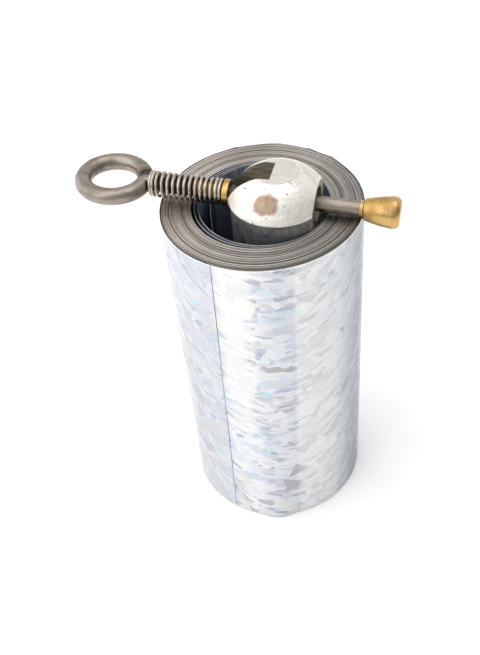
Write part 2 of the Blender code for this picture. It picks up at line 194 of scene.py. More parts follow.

# Camera
CAMERA_TURN = math.radians(14.1)        # round the upright axis
CAMERA_PLACE = (5.36, -196.32, 150.77)  # from the middle of the rim, before the turn
CAMERA_FORWARD = (-0.0523, 0.7022, -0.7100)
CAMERA_RIGHT = (0.9973, 0.0, -0.0734)
CAMERA_LENS = 33.3435115                # for a sensor 24 mm high

# ---------------------------------------------------------------- mesh making


def add_object(name, data):
    made = bpy.data.objects.new(name, data)
    bpy.context.scene.collection.objects.link(made)
    return made


def shade(mesh, smooth_angle):
    """Smooth shading, with sharp edges where two faces meet at more than the given degrees."""
    mesh.shade_smooth()
    mesh.set_sharp_from_angle(angle=math.radians(smooth_angle))


def make_mesh(name, points, faces, material, smooth_angle=35.0):
    """A mesh object from an array of points in millimetres and an array of faces of one size."""
    mesh = bpy.data.meshes.new(name)
    points = np.asarray(points, float)
    faces = np.asarray(faces)
    count, sides = faces.shape
    mesh.vertices.add(len(points))
    mesh.vertices.foreach_set("co", (points * MM).ravel())
    mesh.loops.add(count * sides)
    mesh.loops.foreach_set("vertex_index", faces.ravel())
    mesh.polygons.add(count)
    mesh.polygons.foreach_set("loop_start", np.arange(count) * sides)
    mesh.update(calc_edges=True)
    mesh.validate()
    shade(mesh, smooth_angle)
    made = add_object(name, mesh)
    if material is not None:
        mesh.materials.append(material)
    return made


def grid_faces(rows, columns, closed=False):
    """Four-cornered faces between neighbouring points of a grid; closed joins the last column to the
    first."""
    i, j = np.meshgrid(np.arange(rows - 1), np.arange(columns if closed else columns - 1), indexing="ij")
    next_i, next_j = i + 1, (j + 1) % columns
    corners = (i * columns + j, i * columns + next_j, next_i * columns + next_j, next_i * columns + j)
    return np.stack(corners, -1).reshape(-1, 4)


def orient_outwards(made):
    """Turn all faces of a closed mesh outwards and merge the points that coincide."""
    work = bmesh.new()
    work.from_mesh(made.data)
    bmesh.ops.remove_doubles(work, verts=work.verts, dist=1e-7)
    bmesh.ops.dissolve_degenerate(work, edges=work.edges, dist=1e-7)
    bmesh.ops.recalc_face_normals(work, faces=work.faces)
    work.to_mesh(made.data)
    work.free()
    shade(made.data, 35.0)
    return made


def swept_surface(name, path, profile, normals, material):
    """A profile carried along a path. The profile is an array (steps, sides, 2) or (sides, 2) of
    distances along each step's normal and binormal. Both ends are closed by shrinking a copy of
    the end section to its centre."""
    path = np.asarray(path, float)
    tangents = np.gradient(path, axis=0)
    tangents /= np.linalg.norm(tangents, axis=1, keepdims=True)
    normals = normals - tangents * np.sum(normals * tangents, 1, keepdims=True)
    normals /= np.linalg.norm(normals, axis=1, keepdims=True)
    binormals = np.cross(tangents, normals)
    profile = np.broadcast_to(profile, (len(path),) + np.shape(profile)[-2:])
    points = (path[:, None] + normals[:, None] * profile[..., :1] + binormals[:, None] * profile[..., 1:])
    first, last = (np.broadcast_to(row.mean(0), points[:1].shape) for row in (points[0], points[-1]))
    points = np.concatenate([first, points, last])
    rows, columns = points.shape[:2]
    made = make_mesh(name, points.reshape(-1, 3), grid_faces(rows, columns, True), material)
    return orient_outwards(made)


def turned_surface(name, profile, sides, place, material):
    """A profile (axial, radius) turned about an axis; place is (origin, axis, side, up)."""
    profile = np.asarray(profile, float)
    angle = np.linspace(0, TAU, sides, endpoint=False)
    origin, axis, side, up = (np.asarray(v, float) for v in place)
    ring = np.cos(angle)[:, None] * side + np.sin(angle)[:, None] * up
    points = origin + profile[:, None, :1] * axis + profile[:, None, 1:] * ring[None]
    faces = grid_faces(len(profile), sides, True)
    return orient_outwards(make_mesh(name, points.reshape(-1, 3), faces, material))


def rounded_profile(corners, radius, steps=4):
    """A polyline of (axial, radius) corners with each inner corner replaced by an arc of points:
    a quadratic curve between the two points that lie one rounding length from the corner."""
    corners = np.asarray(corners, float)
    out = [corners[0]]
    for before, here, after in zip(corners[:-2], corners[1:-1], corners[2:]):
        to_before, to_after = before - here, after - here
        reach = min(radius, np.linalg.norm(to_before) / 2.2, np.linalg.norm(to_after) / 2.2)
        start = here + to_before / np.linalg.norm(to_before) * reach
        end = here + to_after / np.linalg.norm(to_after) * reach
        t = np.linspace(0, 1, steps + 1)[:, None]
        out.extend((1 - t) ** 2 * start + 2 * t * (1 - t) * here + t ** 2 * end)
    out.append(corners[-1])
    return np.array(out)


def smooth_step(t):
    t = np.clip(t, 0.0, 1.0)
    return t * t * (3 - 2 * t)


def round_section(radius, sides):
    """A circle as (normal, binormal) distances."""
    angle = np.linspace(0, TAU, sides, endpoint=False)
    return np.stack([radius * np.cos(angle), radius * np.sin(angle)], 1)


PIN_FRAME = (PIN_POINT, PIN_AXIS, PIN_SIDE, PIN_UP)


def pin_place(along, side=0.0, up=0.0):
    """Points given along the pin, to its side and above it, in the row frame."""
    along, side, up = np.broadcast_arrays(along, side, up)
    return PIN_POINT + along[..., None] * PIN_AXIS + side[..., None] * PIN_SIDE + up[..., None] * PIN_UP


# ---------------------------------------------------------------- shader helpers

ORIGIN = (0.0, 0.0, 0.0)


class Nodes:
    """A node tree with short ways to add and join nodes."""

    def __init__(self, tree):
        self.tree = tree
        self.tree.nodes.clear()

    def add(self, kind, settings=None, **values):
        node = self.tree.nodes.new(kind)
        for key, value in (settings or {}).items():
            setattr(node, key, value)
        for key, value in values.items():
            self.feed(node.inputs[key.replace("_", " ")], value)
        return node

    def feed(self, socket, value):
        if isinstance(value, bpy.types.NodeSocket):
            self.tree.links.new(value, socket)
        else:
            socket.default_value = value

    def math(self, operation, first, second=0.0, third=0.0):
        node = self.tree.nodes.new("ShaderNodeMath")
        node.operation = operation
        for socket, value in zip(node.inputs, (first, second, third)):
            self.feed(socket, value)
        return node.outputs[0]

    def vector(self, operation, first, second=ORIGIN):
        """Vector arithmetic; a length or a dot product comes back as one value."""
        node = self.add("ShaderNodeVectorMath", {"operation": operation})
        for socket, value in zip(node.inputs, (first, second)):
            self.feed(socket, value)
        return node.outputs["Value" if operation in ("LENGTH", "DOT_PRODUCT") else "Vector"]

    def noise(self, **values):
        """Noise in space, or along one value if it is given as W."""
        dimensions = "1D" if "W" in values else "3D"
        return self.add("ShaderNodeTexNoise", {"noise_dimensions": dimensions}, **values).outputs["Fac"]

    def times(self, first, second):
        return self.math("MULTIPLY", first, second)

    def remap(self, value, low, high, to_low=0.0, to_high=1.0, kind="SMOOTHSTEP"):
        node = self.tree.nodes.new("ShaderNodeMapRange")
        node.interpolation_type = kind
        for key, given in zip(("Value", "From Min", "From Max", "To Min", "To Max"),
                              (value, low, high, to_low, to_high)):
            self.feed(node.inputs[key], given)
        return node.outputs["Result"]

    def mix(self, share, first, second, blend="MIX"):
        node = self.tree.nodes.new("ShaderNodeMix")
        node.data_type = "RGBA"
        node.blend_type = blend
        self.feed(node.inputs["Factor"], share)
        for socket, value in ((node.inputs[6], first), (node.inputs[7], second)):
            self.feed(socket, (*value, 1.0) if isinstance(value, tuple) and len(value) == 3 else value)
        return node.outputs[2]

    def ramp(self, value, stops, mode="LINEAR"):
        node = self.tree.nodes.new("ShaderNodeValToRGB")
        self.feed(node.inputs[0], value)
        node.color_ramp.interpolation = mode
        while len(node.color_ramp.elements) < len(stops):
            node.color_ramp.elements.new(0.5)
        for element, (position, colour) in zip(node.color_ramp.elements, stops):
            element.position = position
            element.color = (*colour, 1.0)
        return node.outputs["Color"]


def new_group(name, inputs, outputs):
    """A shader node group. Inputs are named with their defaults, where a tuple makes a vector, and
    outputs are single values. Returns the tree, its inner nodes, and the sockets to read and to feed."""
    tree = bpy.data.node_groups.new(name, "ShaderNodeTree")
    for label, value in inputs.items():
        kind = "NodeSocketVector" if isinstance(value, tuple) else "NodeSocketFloat"
        tree.interface.new_socket(label, in_out="INPUT", socket_type=kind).default_value = value
    for label in outputs:
        tree.interface.new_socket(label, in_out="OUTPUT", socket_type="NodeSocketFloat")
    inner = Nodes(tree)
    return tree, inner, inner.add("NodeGroupInput").outputs, inner.add("NodeGroupOutput").inputs


def grain_group():
    """Drawn metal grain: noise stretched along one direction, as a mask and a height."""
    tree, n, given, out = new_group(
        "drawn_grain", {"Vector": ORIGIN, "Scale": 900.0, "Stretch": (1.0, 1.0, 1.0)}, ("Mask", "Height"))
    stretched = n.vector("MULTIPLY", given["Vector"], given["Stretch"])
    fine = n.noise(Vector=stretched, Scale=given["Scale"], Detail=6.0, Roughness=0.62)
    n.feed(out["Mask"], n.remap(fine, 0.3, 0.7))
    n.feed(out["Height"], fine)
    return tree


def patina_group():
    """Handling marks: soft blotches, small specks and fine scratches as one darkening mask each."""
    tree, n, given, out = new_group(
        "handling_marks", {"Vector": ORIGIN, "Blotch Scale": 160.0, "Speck Scale": 1100.0},
        ("Blotch", "Speck", "Scratch"))
    place = given["Vector"]
    blotch = n.noise(Vector=place, Scale=given["Blotch Scale"], Detail=4.0, Roughness=0.55, Distortion=0.6)
    n.feed(out["Blotch"], n.remap(blotch, 0.42, 0.68))
    speck = n.noise(Vector=place, Scale=given["Speck Scale"], Detail=2.0, Roughness=0.5)
    n.feed(out["Speck"], n.remap(speck, 0.66, 0.74))
    turned = n.add("ShaderNodeMapping", {"vector_type": "TEXTURE"}, Vector=place,
                   Rotation=(0.4, 0.7, 0.3), Scale=(1.0, 0.04, 1.0))
    scratch = n.noise(Vector=turned.outputs[0], Scale=1500.0, Detail=3.0, Roughness=0.7)
    n.feed(out["Scratch"], n.remap(scratch, 0.62, 0.72))
    return tree


def turning_group():
    """Lathe rings: a fine wave along one direction with uneven strength, as a height."""
    tree, n, given, out = new_group(
        "turning_rings", {"Distance": 0.0, "Pitch": 0.00025}, ("Height", "Mask"))
    phase = n.math("DIVIDE", given["Distance"], given["Pitch"])
    wave = n.math("SINE", n.times(phase, TAU))
    uneven = n.noise(W=phase, Scale=0.7, Detail=3.0)
    height = n.times(wave, uneven)
    n.feed(out["Height"], n.math("MULTIPLY_ADD", height, 0.5, 0.5))
    n.feed(out["Mask"], n.remap(uneven, 0.35, 0.65))
    return tree


GRAIN = grain_group()
MARKS = patina_group()
RINGS = turning_group()


class Finish(Nodes):
    """A material with one Principled shader and the shared effect groups."""

    def __init__(self, name, metallic=1.0, roughness=0.35, **constants):
        self.material = bpy.data.materials.new(name)
        self.material.use_nodes = True
        super().__init__(self.material.node_tree)
        self.shader = self.add("ShaderNodeBsdfPrincipled")
        self.shader.inputs["Metallic"].default_value = metallic
        self.shader.inputs["Roughness"].default_value = roughness
        for key, value in constants.items():
            self.shader.inputs[key.replace("_", " ")].default_value = value
        output = self.add("ShaderNodeOutputMaterial")
        self.tree.links.new(self.shader.outputs[0], output.inputs["Surface"])
        self.place = self.add("ShaderNodeTexCoord").outputs["Object"]

    def group(self, tree, **values):
        node = self.add("ShaderNodeGroup", {"node_tree": tree})
        for key, value in values.items():
            self.feed(node.inputs[key.replace("_", " ")], value)
        return node.outputs

    def marks(self, blotch_scale, speck_scale, place=None):
        return self.group(MARKS, Vector=place or self.place, Blotch_Scale=blotch_scale,
                          Speck_Scale=speck_scale)

    def stain(self, colour, mask, share, tint):
        """A colour laid over another where a mask is high, at no more than the given share."""
        return self.mix(self.times(mask, share), colour, tint)

    def set(self, name, value):
        self.feed(self.shader.inputs[name], (*value, 1.0) if isinstance(value, tuple) else value)

    def bump(self, height, strength, distance):
        node = self.add("ShaderNodeBump", Height=height, Strength=strength, Distance=distance)
        self.feed(self.shader.inputs["Normal"], node.outputs["Normal"])

    def coordinates(self):
        node = self.add("ShaderNodeSeparateXYZ", Vector=self.place)
        return node.outputs

    def distance_from_axis(self, centre):
        """Distance of a surface point from the upright line through centre."""
        x, y, _ = self.coordinates()
        east = self.math("SUBTRACT", x, centre[0] * MM)
        north = self.math("SUBTRACT", y, centre[1] * MM)
        squares = self.math("ADD", self.math("POWER", east, 2.0), self.math("POWER", north, 2.0))
        return self.math("SQRT", squares)


# ---------------------------------------------------------------- finishes


def ribbon_steel():
    """Slit edges of the wound strip: warm grey with ring-to-ring differences, painted shade as dark rings
    between groups of turns, and painted light that makes the side under the spring lighter."""
    f = Finish("ribbon_steel_edges", roughness=0.36)
    radius = f.distance_from_axis(COIL_AXIS)
    tone = f.noise(W=radius, Scale=1500.0, Detail=4.0, Roughness=0.75)
    marks = f.marks(90.0, 900.0)
    colour = f.ramp(tone, ((0.28, (0.21, 0.195, 0.18)), (0.42, (0.49, 0.455, 0.425)),
                                          (0.60, (0.61, 0.57, 0.535)), (0.75, (0.78, 0.735, 0.69))))
    # Painted shade: dark rings between groups of turns.
    painted_shade_rings = f.noise(W=radius, Scale=1050.0, Detail=1.0)
    colour = f.mix(f.remap(painted_shade_rings, 0.42, 0.34, 0.0, 0.75), colour, (0.11, 0.10, 0.09))
    colour = f.stain(colour, marks["Blotch"], 0.25, (0.28, 0.24, 0.20))
    # Painted light: the rim on the side under the spring is made lighter.
    east = f.coordinates()[0]
    painted_shading = f.remap(east, (COIL_AXIS[0] - 8) * MM, (COIL_AXIS[0] - 24) * MM)
    colour = f.stain(colour, painted_shading, 0.95, f.mix(1.0, colour, (1.9, 1.85, 1.8), "MULTIPLY"))
    f.set("Base Color", colour)
    f.set("Roughness", f.remap(tone, 0.3, 0.7, 0.45, 0.28))
    grain = f.group(GRAIN, Vector=f.place, Scale=1400.0)
    f.bump(grain["Height"], 0.25, 0.00006)
    return f.material


def inner_steel():
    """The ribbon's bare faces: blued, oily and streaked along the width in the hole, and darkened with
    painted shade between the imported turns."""
    f = Finish("ribbon_inner_face", roughness=0.42)
    streak = f.group(GRAIN, Vector=f.place, Scale=500.0, Stretch=(1.0, 1.0, 0.02))
    colour = f.mix(streak["Mask"], (0.14, 0.175, 0.24), (0.42, 0.47, 0.56))
    # Painted shade: dark between the packed turns, outside the hole.
    packed = f.remap(f.distance_from_axis(COIL_AXIS), (HOLE_RADIUS - 0.4) * MM, (HOLE_RADIUS + 0.4) * MM)
    colour = f.mix(packed, colour, (0.075, 0.066, 0.058))
    f.set("Base Color", colour)
    f.set("Roughness", f.remap(streak["Mask"], 0.0, 1.0, 0.5, 0.32))
    f.bump(streak["Height"], 0.2, 0.0001)
    return f.material


def shard_group():
    """Straight-edged shards: cells of a stretched and turned plane, as three random values per cell."""
    labels = ("First", "Second", "Third")
    tree, n, given, out = new_group(
        "film_shards", {"Vector": ORIGIN, "Turn": ORIGIN, "Stretch": (1.0, 1.0, 1.0), "Scale": 200.0}, labels)
    turned = n.add("ShaderNodeMapping", Vector=given["Vector"], Rotation=given["Turn"])
    stretched = n.vector("MULTIPLY", turned.outputs[0], given["Stretch"])
    cells = n.add("ShaderNodeTexVoronoi", {"voronoi_dimensions": "2D"}, Vector=stretched,
                  Scale=given["Scale"], Randomness=1.0)
    split = n.add("ShaderNodeSeparateColor", Color=cells.outputs["Color"])
    for label, cell_value in zip(labels, split.outputs):
        n.feed(out[label], cell_value)
    return tree


SHARDS = shard_group()


def holographic_film():
    """Shattered-glass film: long slivers along lines whose slope follows the sine of the way round from
    one level line, so they lean one way left of the front and the other way right of it, with small
    chips and a few plates between, each with its own tilt and faint tint. Fine wisps run along the same
    lines, and the cut upper edge is white. A painted sheen in the colour, which depends on the place round
    the coil, lays a painted highlight on one upright band that frays towards the foot, and painted shade
    on the far side."""
    f = Finish("shattered_glass_film", metallic=0.8, roughness=0.25, Coat_Weight=0.3, Coat_Roughness=0.1)
    uv = f.add("ShaderNodeUVMap", {"uv_map": "film_uv"}).outputs[0]
    around, height, _ = f.add("ShaderNodeSeparateXYZ", Vector=uv).outputs
    turn = f.math("DIVIDE", around, TAU * COIL_RADIUS * MM)
    bend = f.math("COSINE", f.times(f.math("SUBTRACT", turn, LEVEL_TURN), TAU))
    raised = f.math("MULTIPLY_ADD", bend, LEAN_REACH * MM, height)
    bent = f.add("ShaderNodeCombineXYZ", X=around, Y=raised).outputs[0]

    slivers = f.group(SHARDS, Vector=bent, Turn=(0.0, 0.0, 0.1), Stretch=(0.55, 1.9, 1.0), Scale=420.0)
    blades = f.group(SHARDS, Vector=bent, Turn=(0.0, 0.0, -0.12), Stretch=(0.6, 1.6, 1.0), Scale=170.0)
    chips = f.group(SHARDS, Vector=uv, Turn=(0.0, 0.0, 0.2), Stretch=(1.0, 1.25, 1.0), Scale=440.0)
    plates = f.group(SHARDS, Vector=bent, Turn=(0.0, 0.0, -0.5), Stretch=(1.0, 1.1, 1.0), Scale=205.0)
    wisps = f.group(GRAIN, Vector=bent, Scale=1500.0, Stretch=(0.16, 1.0, 1.0))
    clouds = f.marks(130.0, 900.0, bent)

    def choose(mask, label, first, second):
        one = f.times(first[label], f.math("SUBTRACT", 1.0, mask))
        return f.math("MULTIPLY_ADD", second[label], mask, one)

    def layered(label):
        with_slivers = choose(is_sliver, label, blades, slivers)
        with_chips = choose(is_chip, label, {label: with_slivers}, chips)
        return choose(is_plate, label, {label: with_chips}, plates)

    is_sliver = f.math("GREATER_THAN", slivers["Third"], 0.42)
    is_chip = f.math("GREATER_THAN", chips["Third"], 0.80)
    is_plate = f.math("GREATER_THAN", plates["Second"], 0.87)
    shade, hue = layered("First"), layered("Second")

    value = f.ramp(shade, (
        (0.0, (0.54, 0.56, 0.60)), (0.14, (0.70, 0.715, 0.75)), (0.32, (0.84, 0.85, 0.87)),
        (0.56, (0.93, 0.935, 0.945)), (0.70, (1.0, 1.0, 1.0))))
    calm = f.remap(turn, 0.115, 0.14)
    value = f.stain(value, calm, 0.55, (0.90, 0.90, 0.90))
    value = f.stain(value, clouds["Blotch"], 0.30, (0.80, 0.84, 0.93))
    value = f.mix(f.remap(wisps["Mask"], 0.55, 0.95, 0.0, 0.75), value, (1.0, 1.0, 1.0))
    value = f.mix(f.remap(wisps["Mask"], 0.30, 0.05, 0.0, 0.38), value, (0.70, 0.715, 0.74))
    tint = f.ramp(hue, (
        (0.0, (0.80, 0.88, 1.0)), (0.07, (0.88, 0.93, 1.0)), (0.22, (1.0, 1.0, 1.0)),
        (0.46, (0.93, 0.925, 1.0)), (0.60, (1.0, 1.0, 1.0)), (0.79, (0.87, 0.98, 0.97)),
        (0.84, (1.0, 0.92, 0.96)), (0.875, (1.0, 0.985, 0.91)), (0.91, (0.99, 0.99, 1.0))), "CONSTANT")
    tinted = f.mix(1.0, value, tint, "MULTIPLY")
    glint = f.ramp(chips["Second"], (
        (0.0, (0.66, 0.92, 1.0)), (0.4, (1.0, 0.97, 0.74)), (0.7, (1.0, 0.82, 0.88))), "CONSTANT")
    tinted = f.mix(f.math("GREATER_THAN", chips["Third"], 0.987), tinted, glint)
    colourful = f.math("MAXIMUM", f.remap(turn, 0.10, 0.135, 1.0, 0.15), f.remap(turn, 0.75, 0.85))
    faded = f.mix(colourful, value, tinted)
    # Painted sheen and shade: brightness by the place round the coil, lighter near the band, darkest on the
    # far side.
    sheen = f.ramp(turn, (
        (0.0, (0.73, 0.74, 0.77)), (0.012, (0.80, 0.80, 0.81)), (0.03, (0.82, 0.82, 0.82)),
        (0.055, (0.82, 0.82, 0.83)), (0.075, (0.73, 0.73, 0.75)), (0.1235, (0.65, 0.65, 0.68)),
        (0.1265, (0.77, 0.77, 0.76)), (0.165, (0.75, 0.75, 0.75)), (0.205, (0.68, 0.69, 0.70)),
        (0.24, (0.44, 0.47, 0.50)), (0.27, (0.23, 0.27, 0.32)), (0.32, (0.26, 0.28, 0.33)),
        (0.40, (0.56, 0.58, 0.61)), (0.55, (0.68, 0.69, 0.71)), (0.80, (0.67, 0.68, 0.70)),
        (0.90, (0.66, 0.67, 0.70)), (1.0, (0.68, 0.70, 0.73))))
    # Painted highlight: a white upright band with ragged sides near the seam, fading towards the foot.
    ragged = f.math("MULTIPLY_ADD", slivers["Second"], 0.016, turn)
    band = f.times(f.remap(ragged, 0.008, 0.022), f.remap(ragged, 0.068, 0.056))
    frayed = f.math("MULTIPLY_ADD", chips["Second"], 0.035, height)
    band = f.times(band, f.remap(frayed, 0.035, 0.075))
    with_painted_band = f.mix(f.times(band, 0.85), faded, (1.0, 1.0, 1.0))
    paper = f.remap(height, *((RIM_HEIGHT - depth) * MM for depth in WHITE_EDGE))
    f.set("Base Color", f.mix(paper, f.mix(1.0, with_painted_band, sheen, "MULTIPLY"), (0.95, 0.94, 0.92)))
    f.set("Metallic", f.times(f.math("SUBTRACT", 1.0, paper), 0.8))
    f.set("Roughness", f.remap(shade, 0.0, 1.0, 0.36, 0.16))
    tilt = f.add("ShaderNodeCombineColor", Blue=1.0)
    f.feed(tilt.inputs[0], f.remap(shade, 0.0, 1.0, 0.40, 0.60, "LINEAR"))
    f.feed(tilt.inputs[1], f.remap(hue, 0.0, 1.0, 0.40, 0.60, "LINEAR"))
    normal = f.add("ShaderNodeNormalMap", {"uv_map": "film_uv"}, Strength=0.9, Color=tilt.outputs[0])
    f.feed(f.shader.inputs["Normal"], normal.outputs[0])
    return f.material


def dome_polish():
    """Tumbled aluminium with blotches, pits, fine scratches and soft dents, a duller flat top inside a
    faint ridge, and one warm smear on the near side."""
    f = Finish("polished_dome", roughness=0.5)
    marks = f.marks(210.0, 1300.0)
    pits = f.marks(520.0, 760.0)
    colour = f.mix(f.times(marks["Blotch"], 0.75), (0.93, 0.905, 0.855), (0.78, 0.75, 0.69))
    colour = f.stain(colour, pits["Blotch"], 0.28, (0.62, 0.60, 0.56))
    colour = f.stain(colour, pits["Speck"], 0.75, (0.30, 0.29, 0.27))
    from_axis = f.distance_from_axis(BAR_AXIS)
    level = f.remap(from_axis, (DOME_FLAT_RADIUS + 0.1) * MM, (DOME_FLAT_RADIUS - 0.1) * MM)
    colour = f.stain(colour, level, 0.5, (0.60, 0.58, 0.51))
    colour = f.stain(colour, marks["Scratch"], 0.5, (0.58, 0.57, 0.55))
    colour = f.stain(colour, marks["Speck"], 0.6, (0.42, 0.41, 0.40))
    smear_at = BAR_AXIS + np.array([-0.9, -9.7, RIM_HEIGHT + 7.9])
    centred = f.add("ShaderNodeMapping", {"vector_type": "TEXTURE"}, Vector=f.place,
                    Location=tuple(smear_at * MM), Rotation=(0.35, 0.5, 0.45), Scale=(0.0035, 0.0028, 0.0035))
    wobble = f.noise(Vector=f.place, Scale=420.0, Detail=4.0)
    edge = f.math("ADD", f.vector("LENGTH", centred.outputs[0]), f.times(wobble, 0.7))
    smear = f.remap(edge, 1.5, 1.1)
    heart = f.remap(edge, 1.15, 0.8)
    warm = f.mix(heart, (0.42, 0.27, 0.20), (0.47, 0.36, 0.23))
    colour = f.stain(colour, smear, 0.9, warm)
    from_ridge = f.math("ABSOLUTE", f.math("SUBTRACT", from_axis, DOME_FLAT_RADIUS * MM))
    ridge = f.times(f.remap(from_ridge, 0.00022, 0.00006), wobble)
    f.set("Base Color", f.mix(ridge, colour, (0.55, 0.54, 0.51)))
    rough = f.math("MULTIPLY_ADD", marks["Blotch"], 0.14, 0.48)
    f.set("Roughness", f.math("MULTIPLY_ADD", smear, 0.15, rough))
    scratched = f.times(marks["Scratch"], -0.3)
    height = f.math("ADD", f.times(marks["Speck"], -0.8), scratched)
    height = f.math("MULTIPLY_ADD", pits["Speck"], -1.2, height)
    dents = f.math("MULTIPLY_ADD", wobble, 5.5, height)
    f.bump(dents, 0.7, 0.00009)
    return f.material


def bar_side():
    """The bar's unpolished side: dull grey, blotched and streaked."""
    f = Finish("dull_bar_side", roughness=0.5)
    marks = f.marks(260.0, 900.0)
    grain = f.group(GRAIN, Vector=f.place, Scale=700.0, Stretch=(1.0, 1.0, 0.35))
    colour = f.mix(grain["Mask"], (0.26, 0.265, 0.27), (0.50, 0.50, 0.49))
    colour = f.stain(colour, marks["Blotch"], 0.6, (0.15, 0.16, 0.18))
    f.set("Base Color", colour)
    f.set("Roughness", f.remap(grain["Mask"], 0.0, 1.0, 0.62, 0.4))
    f.bump(grain["Height"], 0.6, 0.00015)
    return f.material


def milled_wall():
    """Slot and bore walls with level milling lines, in a dull olive grey."""
    f = Finish("milled_slot_wall", roughness=0.45)
    _, _, z = f.coordinates()
    lines = f.group(RINGS, Distance=z, Pitch=0.00075)
    grain = f.group(GRAIN, Vector=f.place, Scale=900.0, Stretch=(0.25, 1.0, 1.0))
    colour = f.mix(lines["Height"], (0.34, 0.31, 0.24), (0.86, 0.80, 0.68))
    colour = f.stain(colour, grain["Mask"], 0.5, (0.38, 0.36, 0.30))
    f.set("Base Color", colour)
    f.set("Roughness", f.remap(grain["Mask"], 0.0, 1.0, 0.55, 0.38))
    f.bump(lines["Height"], 0.6, 0.00012)
    return f.material


def wire_metal(name, light, dark, roughness, grease_and_shade=None, painted_shading=None):
    """Drawn or plated wire: grain along the wire, worn blotches and specks. It is dark with grease and
    painted shade between two places along the pin; painted shade darkens it near the pin's axis and
    leaves it bright farther out."""
    f = Finish(name, roughness=roughness)
    marks = f.marks(210.0, 1200.0)
    grain = f.group(GRAIN, Vector=f.place, Scale=800.0, Stretch=(0.2, 1.0, 1.0))
    colour = f.mix(grain["Mask"], light, tuple(0.8 * c for c in light))
    colour = f.stain(colour, marks["Blotch"], 0.6, dark)
    colour = f.stain(colour, marks["Speck"], 0.35, tuple(0.5 * c for c in dark))
    offset = f.vector("SUBTRACT", f.place, tuple(PIN_POINT * MM))
    along = f.vector("DOT_PRODUCT", offset, tuple(PIN_AXIS))
    # Grease and painted shade: the rod dark under the spring, in the sleeve and just past its flange.
    if grease_and_shade is not None:
        low, high = grease_and_shade
        mask = f.times(f.remap(along, (low - 0.5) * MM, (low + 0.5) * MM),
                      f.remap(along, (high + 0.5) * MM, (high - 0.5) * MM))
        colour = f.stain(colour, mask, 0.85, (0.06, 0.052, 0.045))
    # Painted shade: the inner side of the spring's coils, facing the rod, made dark.
    if painted_shading is not None:
        length = f.vector("LENGTH", offset)
        squares = f.math("SUBTRACT", f.math("POWER", length, 2.0), f.math("POWER", along, 2.0))
        away = f.math("SQRT", squares)
        inside = f.remap(away, painted_shading[1] * MM, painted_shading[0] * MM)
        colour = f.stain(colour, inside, 0.8, (0.05, 0.04, 0.032))
    f.set("Base Color", colour)
    f.set("Roughness", f.math("MULTIPLY_ADD", marks["Blotch"], 0.14, roughness))
    scratched = f.times(marks["Scratch"], -0.3)
    height = f.math("ADD", f.times(grain["Height"], 0.4), scratched)
    f.bump(height, 0.35, 0.00008)
    return f.material


def turned_brass():
    """Turned brass with lathe rings, brown tarnish in patches and brighter rubbed places."""
    f = Finish("turned_brass", roughness=0.28)
    along = f.vector("DOT_PRODUCT", f.place, tuple(PIN_AXIS))
    rings = f.group(RINGS, Distance=along, Pitch=0.00032)
    marks = f.marks(230.0, 1000.0)
    colour = f.mix(rings["Mask"], (0.65, 0.425, 0.168), (0.58, 0.365, 0.138))
    colour = f.stain(colour, marks["Blotch"], 0.65, (0.38, 0.22, 0.08))
    colour = f.stain(colour, marks["Speck"], 0.5, (0.22, 0.13, 0.06))
    f.set("Base Color", colour)
    f.set("Roughness", f.math("MULTIPLY_ADD", marks["Blotch"], 0.18, 0.24))
    f.bump(f.math("ADD", rings["Height"], f.times(marks["Scratch"], -0.5)), 0.3, 0.00006)
    return f.material


# ---------------------------------------------------------------- the wound ribbon and its film


def bar_side_distance(angle):
    """Distance from the coil's axis to the bar's side in a direction inside the hole."""
    offset = BAR_AXIS - COIL_AXIS
    along = offset[0] * np.cos(angle) + offset[1] * np.sin(angle)
    return along + np.sqrt(along ** 2 - offset @ offset + BAR_RADIUS ** 2)


